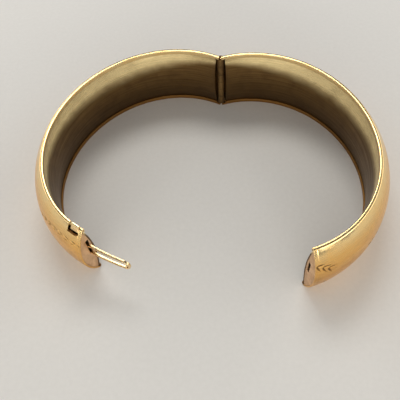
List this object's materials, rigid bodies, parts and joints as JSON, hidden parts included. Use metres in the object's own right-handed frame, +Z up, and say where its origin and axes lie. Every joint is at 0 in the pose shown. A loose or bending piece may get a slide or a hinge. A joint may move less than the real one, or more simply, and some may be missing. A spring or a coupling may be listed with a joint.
{
  "type": "hinged bangle bracelet",
  "caption": "Oval hollow bangle in two hinged halves with a spring tongue clasp, lying open on its rim.",
  "frame": {"origin": "middle of the opened bangle's footprint, on the surface that it lies on", "axes": "+X from the tongue half to the slotted half, +Y towards the hinge at the back, +Z up along the hinge's axis"},
  "size_m": [0.0904, 0.0672, 0.0193],
  "materials": {
    "satin_gold": "satin brushed gold-filled sheet, bright along the rims",
    "worn_liner_gold": "brushed inner sheet, worn and tarnished brown",
    "cap_gold": "dull pinkish gold end plates",
    "spring_gold": "polished spring strip",
    "hinge_gold": "dull gold with brown tarnish in the joints"
  },
  "bodies": {
    "left_half": {"left_outer_shell": "satin_gold", "left_inner_liner": "worn_liner_gold", "left_hinge_cap": "hinge_gold", "left_clasp_cap": "cap_gold", "left_knuckle_1": "hinge_gold", "left_knuckle_2": "hinge_gold", "left_knuckle_3": "hinge_gold", "hinge_pin": "spring_gold", "tongue_anchor": "hinge_gold", "tongue_lower_leaf": "spring_gold"},
    "right_half": {"right_outer_shell": "satin_gold", "right_inner_liner": "worn_liner_gold", "right_hinge_cap": "hinge_gold", "right_clasp_cap": "cap_gold", "right_knuckle_1": "hinge_gold", "right_knuckle_2": "hinge_gold", "right_knuckle_3": "hinge_gold"},
    "catch_leaf": {"tongue_upper_leaf": "spring_gold", "thumb_piece": "satin_gold"}
  },
  "joints": [
    {"name": "bangle_hinge", "type": "hinge", "parent": "left_half", "child": "right_half", "pos_m": [0, 0.02827, 0], "axis": [0, 0, 1], "range_deg": [-47.5, 3]},
    {"name": "catch_press", "type": "hinge", "parent": "left_half", "child": "catch_leaf", "pos_m": [-0.01683, -0.03285, 0.0103], "axis": [-0.2654, -0.9641, 0], "range_deg": [0, 2.6], "stiffness_Nm_per_rad": 0.2}
  ]
}
